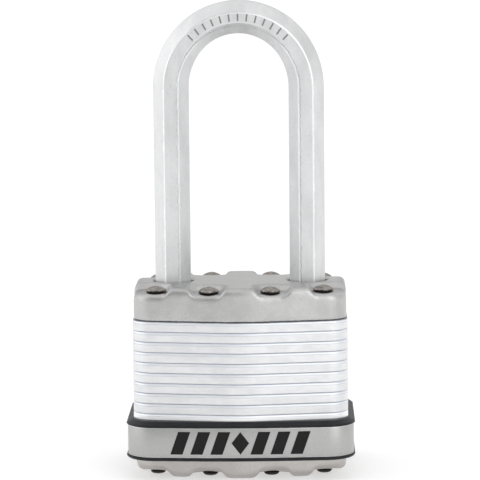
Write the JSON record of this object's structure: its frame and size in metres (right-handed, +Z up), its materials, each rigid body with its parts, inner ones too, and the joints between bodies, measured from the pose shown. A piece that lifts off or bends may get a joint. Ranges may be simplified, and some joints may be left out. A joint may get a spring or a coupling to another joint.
{
  "type": "padlock",
  "caption": "Laminated steel padlock with a long octagonal shackle, pressed end covers, a bumper ring with a metal band and a pin-tumbler cylinder.",
  "frame": {"origin": "centre of the base, on the plane of the bottom cover's raised middle", "axes": "+Z up along the shackle legs, +X to the right along the body's width with the toe leg at +X, -Y out of the front face"},
  "size_m": [0.0472, 0.0342, 0.0978],
  "materials": {
    "shackle_chrome": "satin chrome plate",
    "cover_steel": "satin pressed stainless steel",
    "plate_steel": "bright zinc plate",
    "rivet_steel": "dull steel",
    "bumper_plastic": "matt black thermoplastic",
    "band_steel": "satin grey",
    "cylinder_brass": "machined",
    "pin_brass": "machined",
    "cam_zinc": "die-cast zinc",
    "ball_steel": "polished hardened steel",
    "pin_steel": "ground",
    "spring_steel": "bright wire"
  },
  "bodies": {
    "body": {"top_cover": "cover_steel", "bottom_cover": "cover_steel", "rivets": "rivet_steel", "bumper": "bumper_plastic", "band": "band_steel", "heel_stop_pin": "pin_steel", "cylinder_shell": "cylinder_brass", "chamber_cap": "cylinder_brass", "shackle_spring": "spring_steel", "cam_spring": "spring_steel", "pin_spring_1": "spring_steel", "pin_spring_2": "spring_steel", "pin_spring_3": "spring_steel", "pin_spring_4": "spring_steel", "plate_01": "plate_steel", "plate_02": "plate_steel", "plate_03": "plate_steel", "plate_04": "plate_steel", "plate_05": "plate_steel", "plate_06": "plate_steel", "plate_07": "plate_steel", "plate_08": "plate_steel", "plate_09": "plate_steel", "plate_10": "plate_steel", "plate_11": "plate_steel", "plate_12": "plate_steel", "plate_13": "plate_steel", "plate_14": "plate_steel", "plate_15": "plate_steel", "plate_16": "plate_steel"},
    "shackle": {"shackle": "shackle_chrome"},
    "plug": {"plug": "cylinder_brass"},
    "cam": {"cam": "cam_zinc"},
    "ball_heel": {"ball_heel": "ball_steel"},
    "ball_toe": {"ball_toe": "ball_steel"},
    "key_pin_1": {"key_pin_1": "pin_brass"},
    "driver_pin_1": {"driver_pin_1": "pin_brass"},
    "key_pin_2": {"key_pin_2": "pin_brass"},
    "driver_pin_2": {"driver_pin_2": "pin_brass"},
    "key_pin_3": {"key_pin_3": "pin_brass"},
    "driver_pin_3": {"driver_pin_3": "pin_brass"},
    "key_pin_4": {"key_pin_4": "pin_brass"},
    "driver_pin_4": {"driver_pin_4": "pin_brass"}
  },
  "joints": [
    {"name": "shackle_lift", "type": "slide", "parent": "body", "child": "shackle", "axis": [0, 0, 1], "range_m": [0, 0.0155], "deforming": ["shackle_spring"]},
    {"name": "key_turn", "type": "hinge", "parent": "body", "child": "plug", "pos_m": [0, 0, 0.013], "axis": [0, 0, 1], "range_deg": [0, 90]},
    {"name": "cam_turn", "type": "hinge", "parent": "body", "child": "cam", "pos_m": [0, 0, 0.02945], "axis": [0, 0, 1], "range_deg": [-90, 0]},
    {"name": "ball_toe_slide", "type": "slide", "parent": "body", "child": "ball_toe", "axis": [-1, 0, 0], "range_m": [-0.0017, 0]},
    {"name": "ball_heel_slide", "type": "slide", "parent": "body", "child": "ball_heel", "axis": [1, 0, 0], "range_m": [-0.0017, 0]},
    {"name": "key_pin_1_lift", "type": "slide", "parent": "plug", "child": "key_pin_1", "axis": [0, 1, 0], "range_m": [-0.00112, 0]},
    {"name": "driver_pin_1_lift", "type": "slide", "parent": "body", "child": "driver_pin_1", "axis": [0, 1, 0], "range_m": [-0.00112, 0]},
    {"name": "key_pin_2_lift", "type": "slide", "parent": "plug", "child": "key_pin_2", "axis": [0, 1, 0], "range_m": [-0.00192, 0]},
    {"name": "driver_pin_2_lift", "type": "slide", "parent": "body", "child": "driver_pin_2", "axis": [0, 1, 0], "range_m": [-0.00192, 0]},
    {"name": "key_pin_3_lift", "type": "slide", "parent": "plug", "child": "key_pin_3", "axis": [0, 1, 0], "range_m": [-0.00152, 0]},
    {"name": "driver_pin_3_lift", "type": "slide", "parent": "body", "child": "driver_pin_3", "axis": [0, 1, 0], "range_m": [-0.00152, 0]},
    {"name": "key_pin_4_lift", "type": "slide", "parent": "plug", "child": "key_pin_4", "axis": [0, 1, 0], "range_m": [-0.00072, 0]},
    {"name": "driver_pin_4_lift", "type": "slide", "parent": "body", "child": "driver_pin_4", "axis": [0, 1, 0], "range_m": [-0.00072, 0]}
  ],
  "couplings": [
    {"joint": "ball_heel_slide", "follows": "ball_toe_slide", "ratio": 1},
    {"joint": "cam_turn", "follows": "ball_toe_slide", "rad_per_m": 924},
    {"joint": "driver_pin_1_lift", "follows": "key_pin_1_lift", "ratio": 1},
    {"joint": "driver_pin_2_lift", "follows": "key_pin_2_lift", "ratio": 1},
    {"joint": "driver_pin_3_lift", "follows": "key_pin_3_lift", "ratio": 1},
    {"joint": "driver_pin_4_lift", "follows": "key_pin_4_lift", "ratio": 1}
  ]
}
